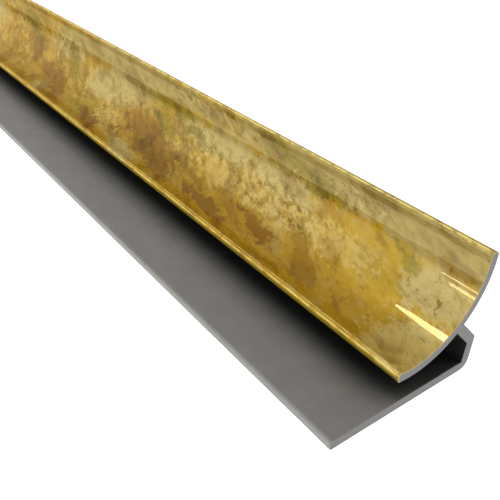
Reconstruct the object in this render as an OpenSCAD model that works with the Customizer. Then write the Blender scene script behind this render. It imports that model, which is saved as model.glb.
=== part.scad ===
// Inside-corner cove trim: a rigid vinyl extrusion whose cove face is wrapped with a
// metallised patina film under a clear wear layer.
// The strip runs along X, Y points towards the wall in the corner and Z stands up from
// the flange. The flange back is the plane Z = 0 and the strip is centred on X and Y.

/* [Strip] */
// Cut length of the strip
strip_len = 457.2; // [150:0.1:2440]
// Width of the section, from the flange's free edge to the outer face of the knee
section_w = 25.4; // [24:0.1:40]
// Wall thickness of every limb of the finished section
wall = 1.5; // [1.2:0.05:2]

/* [Flange and knee] */
// Height of the sharp outer corner where the knee turns into the web
knee_h = 5.5; // [5:0.1:6.5]
// Radius of the outer corner between the flange and the knee
heel_r = 1.5; // [0.2:0.05:1.5]
// Radius of the rounding on the flange's free edge
edge_r = 0.4; // [0.1:0.05:0.55]

/* [Cove] */
// Height of the slot that takes the edge of the wall panel
panel_slot = 3.4; // [2.5:0.1:5]
// Radius of the finished cove face
cove_r = 11.2; // [9:0.1:12]
// Clearance left between the back of the leaf and the adjoining wall
wall_relief = 0.2; // [0.05:0.05:0.5]
// Direction of the lower lip's end, in degrees round the cove centre from +Y
lower_end = -97.2; // [-110:0.1:-75]
// Direction of the upper lip's end, in degrees round the cove centre from +Y
upper_end = 3.5; // [-10:0.1:15]
// Distance from the end of the arc to the blunt face of each lip's nose
nose_run = 0.7; // [0.7:0.05:1]
// Rounding of each nose on the cove side
nose_front_r = 0.3; // [0.25:0.05:0.5]
// Rounding of each nose on its back
nose_back_r = 0.65; // [0.4:0.05:0.65]

/* [Film] */
// Thickness of the adhesive under the film
adhesive_t = 0.04; // [0.02:0.01:0.06]
// Thickness of the metallised film
film_t = 0.08; // [0.04:0.01:0.1]
// Thickness of the clear wear layer
clear_t = 0.04; // [0.02:0.01:0.06]

/* [Hidden] */
$fn = 96;
stack_t = adhesive_t + film_t + clear_t;
wall_y = section_w / 2;
free_y = -section_w / 2;
back_r = cove_r + wall;
cove_y = wall_y - wall_relief - back_r;
cove_z = wall + panel_slot + back_r;
// The bare leaf is thinner than the finished wall, which counts the film on its face.
leaf_face_r = cove_r + stack_t;
leaf_mid_r = (leaf_face_r + back_r) / 2;
web_dir = -45;
// The web leans at 45 degrees, so Y + Z is constant along each of its faces.
web_outer_sum = wall_y + knee_h;
web_inner_sum = web_outer_sum - wall * sqrt(2);
knee_inner_y = wall_y - wall;
knee_inner_h = web_inner_sum - knee_inner_y;
// Distances from the cove centre to the web's faces, square to the web
web_outer_off = (web_outer_sum - cove_y - cove_z) / sqrt(2);
web_inner_off = (web_inner_sum - cove_y - cove_z) / sqrt(2);
slice_r = 2 * back_r;
slice_steps = 6;
nose_overlap = 1;
nose_spare = 0.5;
crease = 0.015;
// How far past the arc's end the shoulder is that hides the film's edge, and the hair gap
// left between the two
shoulder_y = nose_run - nose_back_r;
shoulder_gap = 0.01;

// Runs a section, drawn with Y across and Z up, the whole length of the strip.
module along_strip() {
    translate([-strip_len / 2, 0, 0])
        rotate([90, 0, 90])
            linear_extrude(height = strip_len)
                children();
}

// Rectangle between two opposite corners.
module rect(low, high) {
    translate(low)
        square(high - low);
}

function polar(r, a) = [r * cos(a), r * sin(a)];

// Pie slice round the origin, larger than the cove.
module slice(from, to) {
    rim = [for (i = [0:slice_steps]) polar(slice_r, from + (to - from) * i / slice_steps)];
    polygon(concat([[0, 0]], rim));
}

// Straight limbs: the flange, the upright knee, and the web that leans from the knee to
// the back of the cove.
module limbs_section() {
    cove = [cove_y, cove_z];
    web_root_outer = cove + polar(leaf_mid_r, web_dir) + polar(web_outer_off, web_dir + 90);
    web_root_inner = cove + polar(leaf_mid_r, web_dir) + polar(web_inner_off, web_dir + 90);
    difference() {
        polygon([
            [free_y + edge_r, 0],
            [wall_y, 0],
            [wall_y, knee_h],
            web_root_outer,
            web_root_inner,
            [knee_inner_y, knee_inner_h],
            [knee_inner_y, wall],
            [free_y + edge_r, wall]
        ]);
        heel_waste();
    }
    free_edge();
}

// Corner that the round heel leaves out.
module heel_waste() {
    heel = [wall_y - heel_r, heel_r];
    difference() {
        rect([heel[0], -heel_r], [wall_y + heel_r, heel_r]);
        translate(heel)
            circle(r = heel_r);
    }
}

// Rounded free edge of the flange.
module free_edge() {
    edge_y = free_y + edge_r;
    rect([free_y, edge_r], [edge_y, wall - edge_r]);
    for (z = [edge_r, wall - edge_r])
        translate([edge_y, z])
            circle(r = edge_r);
}

// Ring between the leaf's two faces, each grown by `grow`.
module leaf_ring(grow) {
    difference() {
        circle(r = back_r + grow);
        circle(r = leaf_face_r - grow);
    }
}

// Envelope of a blunt nose, drawn with X out from the cove centre and Y past the arc's
// end. The front disc stands a hair proud of the cove face, which leaves a faint crease.
// The rear disc is set in, so that the film round it finishes flush with the leaf's back.
module nose_envelope(grow) {
    front_r = nose_front_r - stack_t;
    rear_r = nose_back_r - stack_t;
    end_y = nose_run - stack_t;
    front = [leaf_face_r + front_r - crease, end_y - front_r];
    rear = [back_r - nose_back_r, shoulder_y];
    rect([leaf_face_r - nose_spare, -nose_overlap], [rear[0], front[1]]);
    rect([rear[0], -nose_overlap], [back_r + nose_spare, rear[1]]);
    rect([front[0], rear[1]], [rear[0], end_y + grow]);
    translate(front)
        circle(r = front_r + grow);
    translate(rear)
        circle(r = rear_r + grow);
}

// Places something drawn for one nose at both ends of the arc.
module at_both_lips() {
    rotate(upper_end)
        children();
    rotate(lower_end)
        mirror([0, 1])
            children();
}

// The curved leaf with its two noses, round the cove centre, grown by `grow` all round.
module leaf_section(grow) {
    intersection() {
        leaf_ring(grow);
        union() {
            slice(lower_end, upper_end);
            at_both_lips()
                nose_envelope(grow);
        }
    }
}

// Where the film lies: the whole cove face, and both noses as far as their shoulders.
module film_zone() {
    circle(r = leaf_mid_r);
    at_both_lips()
        rect(
            [leaf_mid_r - nose_spare, shoulder_y + shoulder_gap],
            [back_r + nose_spare, nose_run + nose_spare]
        );
}

// One layer of the film, between two distances out from the bare leaf.
module film_layer_section(inner, outer) {
    translate([cove_y, cove_z])
        intersection() {
            difference() {
                leaf_section(outer);
                leaf_section(inner);
            }
            film_zone();
        }
}

// One extrusion: flange, knee, web and curved leaf.
module vinyl_profile() {
    color([0.5, 0.49, 0.46])
        along_strip() {
            limbs_section();
            translate([cove_y, cove_z])
                leaf_section(0);
        }
}

// Bond that holds the film to the leaf.
module film_adhesive() {
    color([0.75, 0.7, 0.55])
        along_strip()
            film_layer_section(0, adhesive_t);
}

// Metallised film that carries the patina.
module metallic_film() {
    color([0.72, 0.58, 0.27])
        along_strip()
            film_layer_section(adhesive_t, adhesive_t + film_t);
}

// Clear gloss layer on the film.
module clear_wear_layer() {
    color([0.95, 0.93, 0.85, 0.35])
        along_strip()
            film_layer_section(adhesive_t + film_t, stack_t);
}

vinyl_profile();
film_adhesive();
metallic_film();
clear_wear_layer();
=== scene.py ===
"""The looks of an inside-corner cove trim: a grey vinyl extrusion whose cove face is wrapped with
aged-brass film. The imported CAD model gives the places; the fine meshes here follow its section."""

import math

import bpy
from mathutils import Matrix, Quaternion, Vector


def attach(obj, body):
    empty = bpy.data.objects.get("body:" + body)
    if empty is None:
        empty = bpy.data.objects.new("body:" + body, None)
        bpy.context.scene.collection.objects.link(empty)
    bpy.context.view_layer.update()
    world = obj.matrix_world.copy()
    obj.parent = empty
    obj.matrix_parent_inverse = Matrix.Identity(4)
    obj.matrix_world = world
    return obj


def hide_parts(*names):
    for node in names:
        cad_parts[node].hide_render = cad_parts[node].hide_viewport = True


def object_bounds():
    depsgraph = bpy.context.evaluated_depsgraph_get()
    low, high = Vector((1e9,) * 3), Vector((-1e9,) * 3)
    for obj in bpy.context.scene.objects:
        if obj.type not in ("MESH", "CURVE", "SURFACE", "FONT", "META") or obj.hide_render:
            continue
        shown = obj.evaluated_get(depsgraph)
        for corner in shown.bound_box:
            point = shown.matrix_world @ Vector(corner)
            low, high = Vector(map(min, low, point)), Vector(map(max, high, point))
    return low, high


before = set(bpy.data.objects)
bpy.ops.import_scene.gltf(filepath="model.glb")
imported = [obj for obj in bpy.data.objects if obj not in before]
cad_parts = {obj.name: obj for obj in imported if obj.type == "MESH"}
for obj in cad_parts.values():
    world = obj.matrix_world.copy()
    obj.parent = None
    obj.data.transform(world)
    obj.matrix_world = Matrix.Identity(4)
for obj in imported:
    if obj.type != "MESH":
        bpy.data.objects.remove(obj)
cad_low, cad_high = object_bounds()

MM = 0.001

# The section, in metres, as in the CAD model: Y across the flange and Z up from its back.
LENGTH = cad_high.x - cad_low.x
FREE_Y = cad_low.y
WALL_Y = cad_high.y
WALL = 1.5 * MM
KNEE_H = 5.5 * MM
HEEL_R = 1.5 * MM
EDGE_R = 0.4 * MM
PANEL_SLOT = 3.4 * MM
COVE_R = 11.2 * MM
WALL_RELIEF = 0.2 * MM
LOWER_END = -97.2
UPPER_END = 3.5
NOSE_RUN = 0.7 * MM
NOSE_FRONT_R = 0.3 * MM
NOSE_BACK_R = 0.65 * MM
ADHESIVE_T = 0.04 * MM
FILM_T = 0.08 * MM
CLEAR_T = 0.04 * MM
# How far each nose's front rounding stands past the cove face, which leaves a shallow crease
CREASE = 0.015 * MM

# The centre of the cove, and the radii of the leaf's back and of its bare face under the film
STACK_T = ADHESIVE_T + FILM_T + CLEAR_T
BACK_R = COVE_R + WALL
FACE_R = COVE_R + STACK_T
COVE = (WALL_Y - WALL_RELIEF - BACK_R, WALL + PANEL_SLOT + BACK_R)

# How far past the arc's end the shoulder is that hides the film's edge, and the hair gap
# between the two
SHOULDER_Y = NOSE_RUN - NOSE_BACK_R
SHOULDER_GAP = 0.01 * MM

# Fineness of the meshes: degrees per step on the cove and on small roundings, and the distance
# between the rings of points along the strip
ARC_STEP = 1.0
NOSE_STEP = 9.0
RING_GAP = 6 * MM

# The small chamfer that the saw leaves, and the gap that keeps the clear layer off the film
SAW_CHAMFER = 0.07 * MM
FILM_GAP = 0.004 * MM

# A smooth surface turns sharp where its faces meet at more than this, in degrees
SHARP_ANGLE = 32


# ---------------------------------------------------------------- section outlines

def polar(radius, degrees):
    return radius * math.cos(math.radians(degrees)), radius * math.sin(math.radians(degrees))


def arc(centre, radius, start, end, step):
    """Points along an arc about centre, both ends included."""
    count = max(2, math.ceil(abs(end - start) / step) + 1)
    points = []
    for i in range(count):
        y, z = polar(radius, start + (end - start) * i / (count - 1))
        points.append((centre[0] + y, centre[1] + z))
    return points


def crossing(centre, radius, ring_r):
    """Direction, seen from centre, in which a disc's rim crosses a ring about the origin."""
    reach = math.hypot(*centre)
    towards_origin = 180 + math.degrees(math.atan2(centre[1], centre[0]))
    cosine = (reach ** 2 + radius ** 2 - ring_r ** 2) / (2 * reach * radius)
    return towards_origin - math.degrees(math.acos(cosine))


def nose(grow, stop):
    """Points round a nose from the cove face to its back, in the nose's own frame: X out from
    the cove centre and Y past the arc's end. On the back they go straight down to Y = stop."""
    front_r = NOSE_FRONT_R - STACK_T + grow
    rear_r = NOSE_BACK_R - STACK_T + grow
    front = (FACE_R + NOSE_FRONT_R - STACK_T - CREASE, NOSE_RUN - NOSE_FRONT_R)
    rear = (BACK_R - NOSE_BACK_R, SHOULDER_Y)
    stop_angle = math.degrees(math.asin((stop - SHOULDER_Y) / rear_r))
    points = arc(front, front_r, crossing(front, front_r, FACE_R - grow), 90, NOSE_STEP)
    return points + arc(rear, rear_r, 90, stop_angle, NOSE_STEP)


def at_lip(points, end_angle, side):
    """Points in a nose's frame, turned to their lip: side is 1 at the upper, -1 at the lower."""
    turned = []
    for x, y in points:
        degrees = end_angle + side * math.degrees(math.atan2(y, x))
        turned.append(polar(math.hypot(x, y), degrees))
    return turned


def angle_of(point):
    return math.degrees(math.atan2(point[1], point[0]))


def lip_to_lip(grow, stop):
    """The outline of the film's side of the leaf, grown by grow, about the cove centre: round
    the lower nose, up the cove face, and round the upper nose."""
    lower = at_lip(nose(grow, stop), LOWER_END, -1)[::-1]
    upper = at_lip(nose(grow, stop), UPPER_END, 1)
    face = arc((0, 0), FACE_R - grow, angle_of(lower[-1]), angle_of(upper[0]), ARC_STEP)
    return lower + face[1:-1] + upper


def placed(path):
    """A path about the cove centre, moved to its place in the section."""
    return [(COVE[0] + y, COVE[1] + z) for y, z in path]


def layer_outline(inner, outer):
    """Closed outline of one layer of the film, how many of its points are the outer face, and
    which of them is in the upper crease."""
    face = lip_to_lip(outer, SHOULDER_Y + SHOULDER_GAP)
    back = lip_to_lip(inner, SHOULDER_Y + SHOULDER_GAP)
    crease = len(face) - len(nose(outer, SHOULDER_Y + SHOULDER_GAP))
    return placed(face + back[::-1]), len(face), crease


def web_meets_back(offset):
    """Direction from the cove centre to where a face of the web, offset square to the web's
    middle line, meets the back of the leaf."""
    return -45 + math.degrees(math.asin(offset / BACK_R))


def profile_outline():
    """Closed outline of the vinyl extrusion, how many of its first points lie under film, and
    the number of the point where the knee's inner face, the pocket's first wall, starts."""
    outer_sum = WALL_Y + KNEE_H
    inner_sum = outer_sum - WALL * math.sqrt(2)
    cove_sum = COVE[0] + COVE[1]
    outer_angle = web_meets_back((outer_sum - cove_sum) / math.sqrt(2))
    inner_angle = web_meets_back((inner_sum - cove_sum) / math.sqrt(2))
    shoulder = [(math.sqrt(BACK_R ** 2 - SHOULDER_Y ** 2), SHOULDER_Y)]
    low_shoulder = at_lip(shoulder, LOWER_END, -1)[0]
    high_shoulder = at_lip(shoulder, UPPER_END, 1)[0]
    knee_in = WALL_Y - WALL
    edge_y = FREE_Y + EDGE_R
    under_film = lip_to_lip(0, SHOULDER_Y)
    outline = placed(under_film)
    outline += placed(arc((0, 0), BACK_R, angle_of(high_shoulder), outer_angle, ARC_STEP))
    outline += [(WALL_Y, KNEE_H)]
    outline += arc((WALL_Y - HEEL_R, HEEL_R), HEEL_R, 0, -90, NOSE_STEP)
    outline += arc((edge_y, EDGE_R), EDGE_R, -90, -180, NOSE_STEP)
    outline += arc((edge_y, WALL - EDGE_R), EDGE_R, 180, 90, NOSE_STEP)
    pocket_start = len(outline)
    outline += [(knee_in, WALL), (knee_in, inner_sum - knee_in)]
    outline += placed(arc((0, 0), BACK_R, inner_angle, angle_of(low_shoulder), ARC_STEP))
    return outline, len(under_film), pocket_start


# ---------------------------------------------------------------- meshes

def inset(outline, depth, keep):
    """The outline moved inwards by depth, apart from points for which keep is true."""
    moved = []
    for i, (y, z) in enumerate(outline):
        before, after = outline[i - 1], outline[(i + 1) % len(outline)]
        run = Vector((y - before[0], z - before[1])).normalized()
        run += Vector((after[0] - y, after[1] - z)).normalized()
        normal = Vector((run.y, -run.x)).normalized()
        share = 0 if keep(i) else depth
        moved.append((y + normal.x * share, z + normal.y * share))
    return moved


def strip_mesh(name, outline, end_outline=None, chamfer=0.0, origin=0):
    """A bar with the given section along X. Where end_outline is given, each end is chamfered
    down to it. The UV map holds, in millimetres, the distance from the +X end and the
    distance back round the outline from its point number origin."""
    half = LENGTH / 2
    body = half - chamfer
    count = math.ceil(2 * body / RING_GAP)
    stations = [(-body + 2 * body * i / count, outline) for i in range(count + 1)]
    if end_outline:
        stations = [(-half, end_outline)] + stations + [(half, end_outline)]
    verts = [(x, y, z) for x, section in stations for y, z in section]
    size = len(outline)
    faces = []
    for ring in range(len(stations) - 1):
        base = ring * size
        for i in range(size):
            j = (i + 1) % size
            faces.append((base + i, base + size + i, base + size + j, base + j))
    faces.append(tuple(range(size)))
    faces.append(tuple(range(len(verts) - 1, len(verts) - size - 1, -1)))
    mesh = bpy.data.meshes.new(name)
    mesh.from_pydata(verts, [], faces)
    lengths = [0.0]
    for i in range(size):
        a, b = outline[i], outline[(i + 1) % size]
        lengths.append(lengths[-1] + math.dist(a, b))
    uv = mesh.uv_layers.new(name="Unrolled")
    for polygon in mesh.polygons:
        wraps = polygon.index % size == size - 1 and len(polygon.vertices) == 4
        for loop in polygon.loop_indices:
            vertex = mesh.loops[loop].vertex_index
            i = vertex % size
            along = lengths[size] if wraps and i == 0 else lengths[i]
            uv.data[loop].uv = ((half - verts[vertex][0]) / MM, (lengths[origin] - along) / MM)
    return mesh, size


def finish_piece(name, mesh, nodes, materials):
    """Turns a mesh into a shown piece that stands for its CAD node."""
    mesh.validate()
    for polygon in mesh.polygons:
        polygon.use_smooth = True
    mesh.set_sharp_from_angle(angle=math.radians(SHARP_ANGLE))
    for material in materials:
        mesh.materials.append(material)
    piece = bpy.data.objects.new(name, mesh)
    bpy.context.scene.collection.objects.link(piece)
    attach(piece, "root")
    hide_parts(nodes)
    return piece


# ---------------------------------------------------------------- node graphs

class Graph:
    """The node tree of a material or a world, with short calls for the nodes used here."""

    def __init__(self, owner, output="ShaderNodeOutputMaterial"):
        owner.use_nodes = True
        self.owner = owner
        self.tree = owner.node_tree
        self.tree.nodes.clear()
        self.output = self.node(output)

    def node(self, kind, **settings):
        made = self.tree.nodes.new(kind)
        for key, value in settings.items():
            setattr(made, key, value)
        return made

    def put(self, socket, value):
        """Links value into socket if it is a socket itself, or sets it there."""
        if isinstance(value, bpy.types.NodeSocket):
            self.tree.links.new(value, socket)
        else:
            socket.default_value = value

    def uv(self):
        return self.node("ShaderNodeUVMap", uv_map="Unrolled").outputs["UV"]

    def position(self):
        return self.node("ShaderNodeTexCoord").outputs["Object"]

    def xyz(self, vector):
        """The vector's components, by the names X, Y and Z."""
        made = self.node("ShaderNodeSeparateXYZ")
        self.put(made.inputs[0], vector)
        return made.outputs

    def mapping(self, vector, scale):
        made = self.node("ShaderNodeMapping")
        self.put(made.inputs["Vector"], vector)
        made.inputs["Scale"].default_value = scale
        return made.outputs["Vector"]

    def local(self, vector, centre, size, lean=0.0):
        """Place in a frame about centre that leans by lean degrees, in units of size."""
        made = self.node("ShaderNodeMapping", vector_type="TEXTURE")
        self.put(made.inputs["Vector"], vector)
        made.inputs["Location"].default_value = (*centre, 0)
        made.inputs["Rotation"].default_value = (0, 0, math.radians(lean))
        made.inputs["Scale"].default_value = (*size, 1)
        return made.outputs["Vector"]

    def vector_math(self, operation, a, b):
        made = self.node("ShaderNodeVectorMath", operation=operation)
        self.put(made.inputs[0], a)
        self.put(made.inputs[1], b)
        return made.outputs["Vector"]

    def warp(self, vector, scale, reach):
        """The vector pushed about by up to half of reach, to tear the edges drawn with it."""
        made = self.node("ShaderNodeTexNoise")
        self.put(made.inputs["Vector"], vector)
        made.inputs["Scale"].default_value = scale
        made.inputs["Detail"].default_value = 5
        made.inputs["Roughness"].default_value = 0.65
        push = self.vector_math("SUBTRACT", made.outputs["Color"], (0.5, 0.5, 0.5))
        return self.vector_math("ADD", vector, self.vector_math("MULTIPLY", push, (reach, reach, 0)))

    def nearest(self, vector, patches):
        """Distance from the nearest patch's middle, where 1 is its rim. A patch is its middle's
        two coordinates, its half length and half width, and its lean."""
        found = PATCH_HORIZON
        for along, down, length, width, lean in patches:
            made = self.node("ShaderNodeVectorMath", operation="LENGTH")
            self.put(made.inputs[0], self.local(vector, (along, down), (length, width), lean))
            found = self.math("MINIMUM", made.outputs["Value"], found)
        return found

    def noise(self, vector, scale, detail=4.0, roughness=0.5, distortion=0.0):
        made = self.node("ShaderNodeTexNoise")
        self.put(made.inputs["Vector"], vector)
        made.inputs["Scale"].default_value = scale
        made.inputs["Detail"].default_value = detail
        made.inputs["Roughness"].default_value = roughness
        made.inputs["Distortion"].default_value = distortion
        return made.outputs["Fac"]

    def math(self, operation, a, b=0.0):
        made = self.node("ShaderNodeMath", operation=operation)
        self.put(made.inputs[0], a)
        self.put(made.inputs[1], b)
        return made.outputs[0]

    def times(self, a, b):
        return self.math("MULTIPLY", a, b)

    def ramp(self, value, low, high, low_out=0.0, high_out=1.0):
        """Smooth step of value from low to high."""
        made = self.node("ShaderNodeMapRange", interpolation_type="SMOOTHSTEP")
        self.put(made.inputs["Value"], value)
        made.inputs["From Min"].default_value = low
        made.inputs["From Max"].default_value = high
        made.inputs["To Min"].default_value = low_out
        made.inputs["To Max"].default_value = high_out
        return made.outputs["Result"]

    def mix(self, factor, a, b, blend="MIX"):
        made = self.node("ShaderNodeMix", data_type="RGBA", blend_type=blend)
        self.put(made.inputs[0], factor)
        for socket, value in ((made.inputs[6], a), (made.inputs[7], b)):
            self.put(socket, value if isinstance(value, bpy.types.NodeSocket) else (*value, 1.0))
        return made.outputs[2]

    def openness(self, reach):
        """How open to the outside a point is, from 0 deep in a pocket of its own piece to 1."""
        made = self.node("ShaderNodeAmbientOcclusion", samples=8, only_local=True)
        made.inputs["Distance"].default_value = reach
        return made.outputs["AO"]

    def bump(self, height, distance, strength):
        made = self.node("ShaderNodeBump")
        made.inputs["Distance"].default_value = distance
        made.inputs["Strength"].default_value = strength
        self.put(made.inputs["Height"], height)
        return made.outputs["Normal"]

    def surface(self, shader):
        self.put(self.output.inputs["Surface"], shader)

    def mix_shader(self, factor, a, b):
        made = self.node("ShaderNodeMixShader")
        for i, value in enumerate((factor, a, b)):
            self.put(made.inputs[i], value)
        return made.outputs[0]

    def principled(self, **inputs):
        """A Principled shader as the surface, with sockets named as Blender names them but with
        underscores for spaces."""
        made = self.node("ShaderNodeBsdfPrincipled")
        for key, value in inputs.items():
            socket = made.inputs[key.replace("_", " ")]
            if isinstance(value, tuple) and len(value) == 3:
                value = (*value, 1.0)
            self.put(socket, value)
        self.surface(made.outputs["BSDF"])


# ---------------------------------------------------------------- colours and places of the patina

GOLD = (0.40, 0.255, 0.012)
PALE_GOLD = (0.54, 0.38, 0.095)
KHAKI = (0.45, 0.36, 0.14)
PALE_KHAKI = (0.58, 0.46, 0.20)
DUSKY_KHAKI = (0.35, 0.275, 0.095)
GOLD_BROWN = (0.45, 0.25, 0.008)
BROWN = (0.23, 0.09, 0.001)
OLIVE = (0.20, 0.155, 0.008)
STAIN = (0.5, 0.39, 0.22)
# painted highlight: the bright gold painted along the lips' crests
PAINTED_HIGHLIGHT_GOLD = (0.95, 0.78, 0.24)

# Patches of the patina, in mm: distance from the +X end, distance down from the upper crease,
# half length, half width, and lean in degrees
GOLD_BROWN_PATCHES = [
    (54, 18, 13, 3, -8), (38, 17, 9, 3.5, -10), (18, 17, 12, 3.2, -5), (93, 18.5, 8, 2.4, -20),
    (76, 14, 15, 4.5, -15), (124, 13, 12, 3, -10), (113, 17, 9, 3, -30), (150, 12, 14, 5, -20),
]
KHAKI_PATCHES = [
    (94, 7.3, 14, 4.2, 6), (56, 6.6, 13, 2.7, 0), (38, 6.6, 9, 2.4, 0), (4.5, 8, 5.5, 3.8, 0),
    (2.5, 17, 5, 5, 0), (119, 18.5, 3, 2, 0), (75, 19.4, 6, 2.4, -10), (122, 5.5, 9, 3, 0),
    (180, 9, 16, 6, -15),
]
DUSKY_KHAKI_PATCHES = [
    (10, 1.6, 48, 3.2, 0), (90, 2, 40, 2.4, 0),
]
PALE_GOLD_PATCHES = [
    (49, 11, 8, 2.3, 0), (37, 10.6, 10, 2.7, 0), (24, 9.7, 7, 2.5, 0), (91, 14, 4.5, 3, -20),
    (66, 10.8, 5, 1.2, 0), (160, 15, 8, 3, -20), (2, 18, 7, 3.6, 0),
]
RICH_GOLD_PATCHES = [
    (14, 9.5, 5.5, 4, 0), (101, 16, 7, 4, -20),
]
BROWN_PATCHES = [
    (74, 13, 13, 3.2, -12), (114, 16, 8, 1.8, -32), (124, 13.4, 8, 1.5, -10),
    (66, 16.5, 8, 1.8, -20), (48, 17.5, 8, 1.4, -12), (36, 15.5, 6, 1.2, -15),
    (92, 18, 7, 1.3, -20), (4, 9, 2.2, 0.25, -60), (140, 9, 9, 2.5, -25),
]
OLIVE_PATCHES = [
    (117, 8, 6, 2.2, -30), (76, 4.9, 12, 1.1, 0), (74, 8.4, 5, 1.6, -20), (10.6, 6, 2.4, 1, -30),
    (64, 7.2, 5, 0.8, -10), (37, 2, 9, 1.2, -10), (28.4, 4.4, 3.2, 0.6, 0), (145, 5, 8, 2, -20),
]
# Where the flakes, specks and strokes crowd together; elsewhere the film is calm
BUSY_PATCHES = [
    (37, 10, 12, 3.2, 0), (118, 9, 15, 4, -20), (70, 13, 15, 3.5, -15), (62, 9, 9, 3, 0),
    (88, 14, 8, 3, -20), (150, 8, 14, 6, -20), (30, 3, 14, 1.6, 0), (58, 1.5, 14, 1.4, 0),
]
# A distance from a patch, in patches, past which nothing changes
PATCH_HORIZON = 9.0

# Clouds take over from the patches between these distances from the +X end, in mm
CLOUDS_START = 125
CLOUDS_FULL = 165

# Stretches of the film at the lips, in mm down from the upper crease: bands of painted highlight
# along the noses' crests, and bands of painted shade on the noses' backs; and half the width of
# their soft rims
PAINTED_HIGHLIGHT_BANDS = [(-0.8, -0.3), (20.4, 20.62), (21.0, 21.2)]
PAINTED_SHADE_BANDS = [(-3, -1.0), (21.5, 24)]
BAND_RIM = 0.05


# ---------------------------------------------------------------- materials

# Two tones for each of the plain materials, which a mottle mixes
VINYL = (0.168, 0.162, 0.147)
PALE_VINYL = (0.186, 0.180, 0.164)
SAWN_VINYL = (0.118, 0.112, 0.110)
PALE_SAWN_VINYL = (0.137, 0.131, 0.128)
BOND = (0.42, 0.36, 0.22)
PALE_BOND = (0.55, 0.48, 0.32)

# Painted shade: the near black painted into the vinyl's colour in its pocket and under the leaf,
# where shade falls, and how far round a point its openness counts, for a broad fade and for a
# tighter one
PAINTED_POCKET_SHADE = (0.004, 0.004, 0.004)
BROAD_REACH = 12 * MM
TIGHT_REACH = 8 * MM

# Tint of the clear layer's reflections, and the most of the light that it reflects
GLOSS_TINT = (1, 0.84, 0.4, 1)
GLOSS_CEILING = 0.058


def new_material(name):
    return Graph(bpy.data.materials.new(name))


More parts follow.
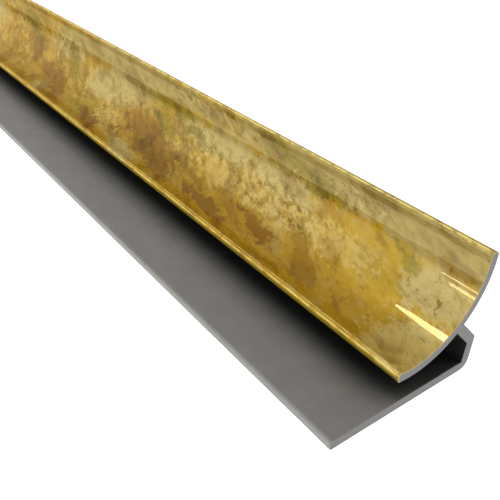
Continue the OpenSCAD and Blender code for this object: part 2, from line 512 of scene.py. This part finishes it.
def patina_film():
    """Aged-brass print on metallised film: gold with torn patches of khaki, pale gold, brown and
    olive, flaky mottling, strokes and veins that lean along the strip, a painted highlight along
    both lips, and painted shade in olive on the backs of their noses."""
    g = new_material("patina_film")
    uv = g.uv()
    torn = g.warp(g.warp(uv, 0.14, 6), 0.8, 2.4)

    def blotches(vector, start, size, lean, detail, roughness, distortion):
        """Noise with blotches of the given length and width in mm, which lean."""
        return g.noise(g.local(vector, start, size, lean), 1, detail, roughness, distortion)

    drift = blotches(uv, (3, 8), (11, 5), -25, 6, 0.6, 0.6)
    grain = blotches(uv, (0, 0), (2.4, 1.4), -25, 8, 0.75, 0.3)
    flakes = blotches(uv, (7, 3), (2.4, 1.2), -20, 8, 0.74, 0.6)
    specks = blotches(torn, (1, 5), (1.3, 0.7), -15, 6, 0.72, 0.8)
    strokes = blotches(torn, (0, 0), (5, 0.5), -26, 5, 0.7, 0.3)
    veins = blotches(torn, (4, 2), (5, 2.4), -20, 4, 0.6, 0.6)
    clouds = blotches(uv, (0, 0), (26, 9), -15, 6, 0.65, 0.8)
    beyond = g.ramp(g.xyz(uv)["X"], CLOUDS_START, CLOUDS_FULL)
    busy = g.ramp(g.nearest(torn, BUSY_PATCHES), 1.5, 0.7, 0.25, 1)
    down = g.xyz(g.warp(uv, 0.5, 0.2))["Y"]

    def add(colour, patches, tint, share, fray=2.4, rim=0.3):
        """The tint laid over the patches, whose rims are frayed by the flakes."""
        spread = g.times(g.math("SUBTRACT", flakes, 0.5), fray)
        away = g.math("ADD", g.nearest(torn, patches), spread)
        return g.mix(g.ramp(away, 1 - rim, 1 + rim, share, 0), colour, tint)

    def stain(colour, mask):
        return g.mix(mask, colour, STAIN, "MULTIPLY")

    def within(bands):
        """1 inside the bands and 0 outside them."""
        found = 0.0
        for low, high in bands:
            past_low = g.ramp(down, low - BAND_RIM, low + BAND_RIM)
            before_high = g.ramp(down, high - BAND_RIM, high + BAND_RIM, 1, 0)
            found = g.math("MAXIMUM", g.times(past_low, before_high), found)
        return found

    # Ground, and the clouds on the far stretch
    colour = g.mix(g.ramp(grain, 0.42, 0.58), GOLD, GOLD_BROWN)
    colour = g.mix(g.times(g.ramp(clouds, 0.49, 0.42, 0, 0.8), beyond), colour, KHAKI)
    colour = g.mix(g.times(g.ramp(clouds, 0.54, 0.6, 0, 0.8), beyond), colour, BROWN)

    # Broad patches, pale marks over them, and then the dark patches and flakes
    colour = add(colour, GOLD_BROWN_PATCHES, GOLD_BROWN, 0.9)
    colour = add(colour, RICH_GOLD_PATCHES, GOLD, 0.9)
    colour = add(colour, KHAKI_PATCHES, KHAKI, 0.9)
    colour = add(colour, DUSKY_KHAKI_PATCHES, DUSKY_KHAKI, 0.9)
    colour = add(colour, PALE_GOLD_PATCHES, PALE_GOLD, 0.75, 4, 0.15)
    colour = g.mix(g.times(g.ramp(strokes, 0.54, 0.62, 0, 0.5), busy), colour, PALE_KHAKI)
    colour = g.mix(g.times(g.ramp(flakes, 0.46, 0.41, 0, 0.5), busy), colour, PALE_KHAKI)
    colour = g.mix(g.ramp(drift, 0.46, 0.36, 0, 0.35), colour, KHAKI)
    colour = add(colour, BROWN_PATCHES, BROWN, 0.9, 3.5)
    colour = add(colour, OLIVE_PATCHES, OLIVE, 0.75, 5, 0.2)
    colour = g.mix(g.times(g.ramp(flakes, 0.54, 0.57, 0, 0.7), busy), colour, OLIVE)

    # Stains, from broad drifts down to thin veins
    colour = stain(colour, g.ramp(drift, 0.5, 0.6, 0, 0.6))
    colour = stain(colour, g.times(g.ramp(grain, 0.48, 0.6, 0, 0.6), busy))
    colour = stain(colour, g.times(g.ramp(strokes, 0.47, 0.38, 0, 0.6), busy))
    colour = stain(colour, g.times(g.ramp(specks, 0.57, 0.61, 0, 0.8), busy))
    off_vein = g.math("ABSOLUTE", g.math("SUBTRACT", veins, 0.5))
    vein = g.ramp(off_vein, 0.003, 0.014, 0.9, 0)
    colour = stain(colour, g.times(vein, g.ramp(grain, 0.49, 0.55)))

    # Lips: a painted highlight along each nose's crest, broken up by the grain, and painted shade in
    # olive on the noses' backs
    painted_highlight = g.times(within(PAINTED_HIGHLIGHT_BANDS), g.ramp(grain, 0.57, 0.47, 0.3, 1))
    colour = g.mix(painted_highlight, colour, PAINTED_HIGHLIGHT_GOLD)
    colour = g.mix(within(PAINTED_SHADE_BANDS), colour, OLIVE)

    rough = g.ramp(grain, 0.3, 0.7, 0.34, 0.48)
    normal = g.bump(flakes, 0.02 * MM, 0.6)
    g.principled(Base_Color=colour, Metallic=0.45, Roughness=rough, Specular_IOR_Level=0.1,
                 Specular_Tint=(1, 0.78, 0.35), Normal=normal)
    return g.owner


def clear_gloss():
    """Clear gloss layer: see-through, with a sharp reflection that grows a little as the view
    slants, up to a ceiling."""
    g = new_material("clear_gloss")
    glossy = g.node("ShaderNodeBsdfGlossy")
    glossy.inputs["Roughness"].default_value = 0.02
    glossy.inputs["Color"].default_value = GLOSS_TINT
    clear = g.node("ShaderNodeBsdfTransparent")
    fresnel = g.node("ShaderNodeFresnel")
    fresnel.inputs["IOR"].default_value = 1.6
    share = g.math("MINIMUM", fresnel.outputs[0], GLOSS_CEILING)
    g.surface(g.mix_shader(share, clear.outputs[0], glossy.outputs[0]))
    return g.owner


def clear_inside():
    """The clear layer's inner face, which lies on the film and shows nothing of its own."""
    g = new_material("clear_inside")
    g.surface(g.node("ShaderNodeBsdfTransparent").outputs[0])
    return g.owner


def grey_vinyl(name, closed, open_):
    """Extruded rigid vinyl skin: warm grey with faint die lines along the strip. Painted shade: a
    broad fade darkens its colour towards near black in the pocket and under the leaf, and inside, it
    darkens further from where its openness is open_ to where it is closed."""
    g = new_material(name)
    place = g.position()
    die_lines = g.noise(g.mapping(place, (8, 2500, 2500)), 1, 3, 0.6)
    mottle = g.noise(place, 260, 4, 0.6)
    colour = g.mix(g.ramp(mottle, 0.35, 0.7), VINYL, PALE_VINYL)
    # painted shade: the colour fades to near black where the openness is low, broadly and then more
    # tightly
    colour = g.mix(g.ramp(g.openness(BROAD_REACH), 0.25, 1.0, 1, 0), colour, PAINTED_POCKET_SHADE)
    colour = g.mix(g.ramp(g.openness(TIGHT_REACH), closed, open_, 1, 0), colour, PAINTED_POCKET_SHADE)
    rough = g.ramp(die_lines, 0.3, 0.7, 0.42, 0.52)
    g.principled(Base_Color=colour, Roughness=rough, Normal=g.bump(die_lines, 0.006 * MM, 0.5))
    return g.owner


def sawn_vinyl():
    """Freshly cut vinyl at the ends: dull, with fine saw marks."""
    g = new_material("sawn_vinyl")
    place = g.position()
    marks = g.noise(g.mapping(place, (1, 900, 6000)), 1, 3, 0.6)
    mottle = g.noise(place, 1500, 4, 0.6)
    colour = g.mix(g.ramp(mottle, 0.3, 0.7), SAWN_VINYL, PALE_SAWN_VINYL)
    g.principled(Base_Color=colour, Roughness=0.62, Normal=g.bump(marks, 0.02 * MM, 0.5))
    return g.owner


def adhesive():
    """Bond line, seen only as a hair line at the cut ends."""
    g = new_material("adhesive")
    mottle = g.noise(g.position(), 4000, 3, 0.6)
    colour = g.mix(mottle, BOND, PALE_BOND)
    g.principled(Base_Color=colour, Roughness=g.ramp(mottle, 0.3, 0.7, 0.35, 0.5))
    return g.owner


# ---------------------------------------------------------------- pieces

def make_vinyl_profile():
    """The extrusion, with its skin, the skin of its pocket, which has deeper painted shade, and its
    sawn ends.
    """
    outline, under_film, pocket_start = profile_outline()
    end = inset(outline, SAW_CHAMFER, lambda i: i < under_film)
    mesh, size = strip_mesh("vinyl_profile_fine", outline, end, SAW_CHAMFER)
    # both skins get painted shade in their colour; the pocket's is deeper
    skin = grey_vinyl("grey_vinyl", 0.4, 0.85)
    pocket = grey_vinyl("pocket_vinyl_painted_shade", 0.8, 1.0)
    finish_piece("extrusion", mesh, "vinyl_profile", [skin, pocket, sawn_vinyl()])
    for polygon in mesh.polygons[:-2]:
        if polygon.index % size >= pocket_start:
            polygon.material_index = 1
    for polygon in mesh.polygons[-2:]:
        polygon.material_index = 2


def make_layer(name, node, inner, outer, materials):
    """One layer of the film, from inner to outer off the bare leaf. The second material, if there
    is one, goes on its inner face."""
    outline, face_count, crease = layer_outline(inner, outer)
    mesh, size = strip_mesh(name + "_fine", outline, origin=crease)
    finish_piece(name, mesh, node, materials)
    if len(materials) > 1:
        for polygon in mesh.polygons[:-2]:
            if polygon.index % size >= face_count - 1:
                polygon.material_index = 1


film_in = ADHESIVE_T
film_out = ADHESIVE_T + FILM_T
make_vinyl_profile()
make_layer("bond", "film_adhesive", 0, film_in, [adhesive()])
make_layer("patina", "metallic_film", film_in, film_out, [patina_film()])
make_layer("gloss_layer", "clear_wear_layer", film_out + FILM_GAP, STACK_T,
           [clear_gloss(), clear_inside()])


# ---------------------------------------------------------------- stage, lights and camera

# The sky's brightness by the way it is seen: a component of that direction, the stretch over
# which it changes, and the factors at the stretch's two ends
SKY = [
    # dark at the horizon
    ("Z", 0.0, 0.1, 0.03, 1.0),
    # a bright belt above it
    ("Z", 0.4, 0.8, 1.6, 1.0),
    # dimmer on the knee's side than on the flange's
    ("Y", -0.25, 0.15, 1.0, 0.6),
    # dimmer towards the +X end
    ("X", -0.8, 0.0, 1.0, 0.7),
]

# The floor: half its width, where its front edge is, how far it lies under the part, its two
# tones, and the light that it gives off, which keeps it white
FLOOR_HALF = 3.0
FLOOR_FRONT = -102 * MM
FLOOR_DROP = 0.05 * MM
FLOOR_WHITE = (0.93, 0.93, 0.92)
FLOOR_PALE_WHITE = (0.95, 0.95, 0.945)
FLOOR_GLOW = 1.0

# The lights: name, place, target, and width and height, all in mm, then radiance and shape
LIGHTS = [
    # high up and well out from the flange's free edge, facing straight down
    ("key", (-20, -175, 600), (-20, -175, 0), (180, 100), 13, "ELLIPSE"),
    # on the sawn end
    ("end_fill", (900, 60, 500), (228, 0, 8), (500, 500), 1.2, "RECTANGLE"),
    # tubes that show as bright streaks in the gloss
    ("low_tube", (-35, -800, 112), (200, 0, 13), (270, 18), 10, "RECTANGLE"),
    ("high_tube", (-35, -800, 212), (200, 0, 13), (250, 50), 8, "RECTANGLE"),
]

# The camera: its place from the foot of the +X end in mm, the way it looks, its roll in degrees,
# and its lens in mm
CAMERA_PLACE = (32.8, -52.0, 59.6)
CAMERA_AHEAD = (-0.6585, 0.5217, -0.5425)
CAMERA_ROLL = 3.07
CAMERA_LENS = 46.13


def pale_floor():
    g = new_material("pale_floor")
    mottle = g.noise(g.position(), 30, 3, 0.5)
    colour = g.mix(mottle, FLOOR_WHITE, FLOOR_PALE_WHITE)
    g.principled(Base_Color=colour, Roughness=0.9, Emission_Color=(1, 1, 1),
                 Emission_Strength=FLOOR_GLOW)
    return g.owner


def make_floor():
    """A white board that ends a little way in front of the flange."""
    mesh = bpy.data.meshes.new("floor")
    corners = [(-FLOOR_HALF, FLOOR_FRONT), (FLOOR_HALF, FLOOR_FRONT),
               (FLOOR_HALF, FLOOR_HALF), (-FLOOR_HALF, FLOOR_HALF)]
    mesh.from_pydata([(x, y, -FLOOR_DROP) for x, y in corners], [], [(0, 1, 2, 3)])
    mesh.materials.append(pale_floor())
    floor = bpy.data.objects.new("floor", mesh)
    bpy.context.scene.collection.objects.link(floor)


def make_light(name, place, target, size, radiance, shape):
    """An area light at place that faces target, all in mm, of the given width and height."""
    light = bpy.data.lights.new(name, "AREA")
    light.shape = shape
    light.size = size[0] * MM
    light.size_y = size[1] * MM
    area = light.size * light.size_y * (math.pi / 4 if shape == "ELLIPSE" else 1)
    light.energy = radiance * math.pi * area
    lamp = bpy.data.objects.new(name, light)
    lamp.location = Vector(place) * MM
    lamp.rotation_euler = (Vector(target) - Vector(place)).to_track_quat("-Z", "Y").to_euler()
    bpy.context.scene.collection.objects.link(lamp)


def make_world():
    """White behind the object. What lights it and shows in its gloss is the soft sky."""
    world = bpy.data.worlds.new("studio")
    bpy.context.scene.world = world
    g = Graph(world, "ShaderNodeOutputWorld")

    def background(strength):
        made = g.node("ShaderNodeBackground")
        made.inputs["Color"].default_value = (1, 1, 1, 1)
        g.put(made.inputs["Strength"], strength)
        return made.outputs[0]

    way = g.xyz(g.node("ShaderNodeTexCoord").outputs["Generated"])
    strength = 1.0
    for axis, start, end, at_start, at_end in SKY:
        strength = g.times(g.ramp(way[axis], start, end, at_start, at_end), strength)
    camera_ray = g.node("ShaderNodeLightPath").outputs["Is Camera Ray"]
    g.surface(g.mix_shader(camera_ray, background(strength), background(1.0)))


def make_camera():
    """Close to the +X end, above the flange's free edge, looking down along the strip."""
    data = bpy.data.cameras.new("camera")
    data.lens = CAMERA_LENS
    data.sensor_width = 36
    data.clip_start = 0.005
    camera = bpy.data.objects.new("camera", data)
    camera.location = Vector((cad_high.x, 0, 0)) + Vector(CAMERA_PLACE) * MM
    ahead = Vector(CAMERA_AHEAD)
    roll = Quaternion(-ahead, math.radians(CAMERA_ROLL))
    camera.rotation_mode = "QUATERNION"
    camera.rotation_quaternion = roll @ ahead.to_track_quat("-Z", "Y")
    bpy.context.scene.collection.objects.link(camera)
    bpy.context.scene.camera = camera


make_floor()
make_world()
for light in LIGHTS:
    make_light(*light)
make_camera()
bpy.context.scene.view_settings.view_transform = "Standard"
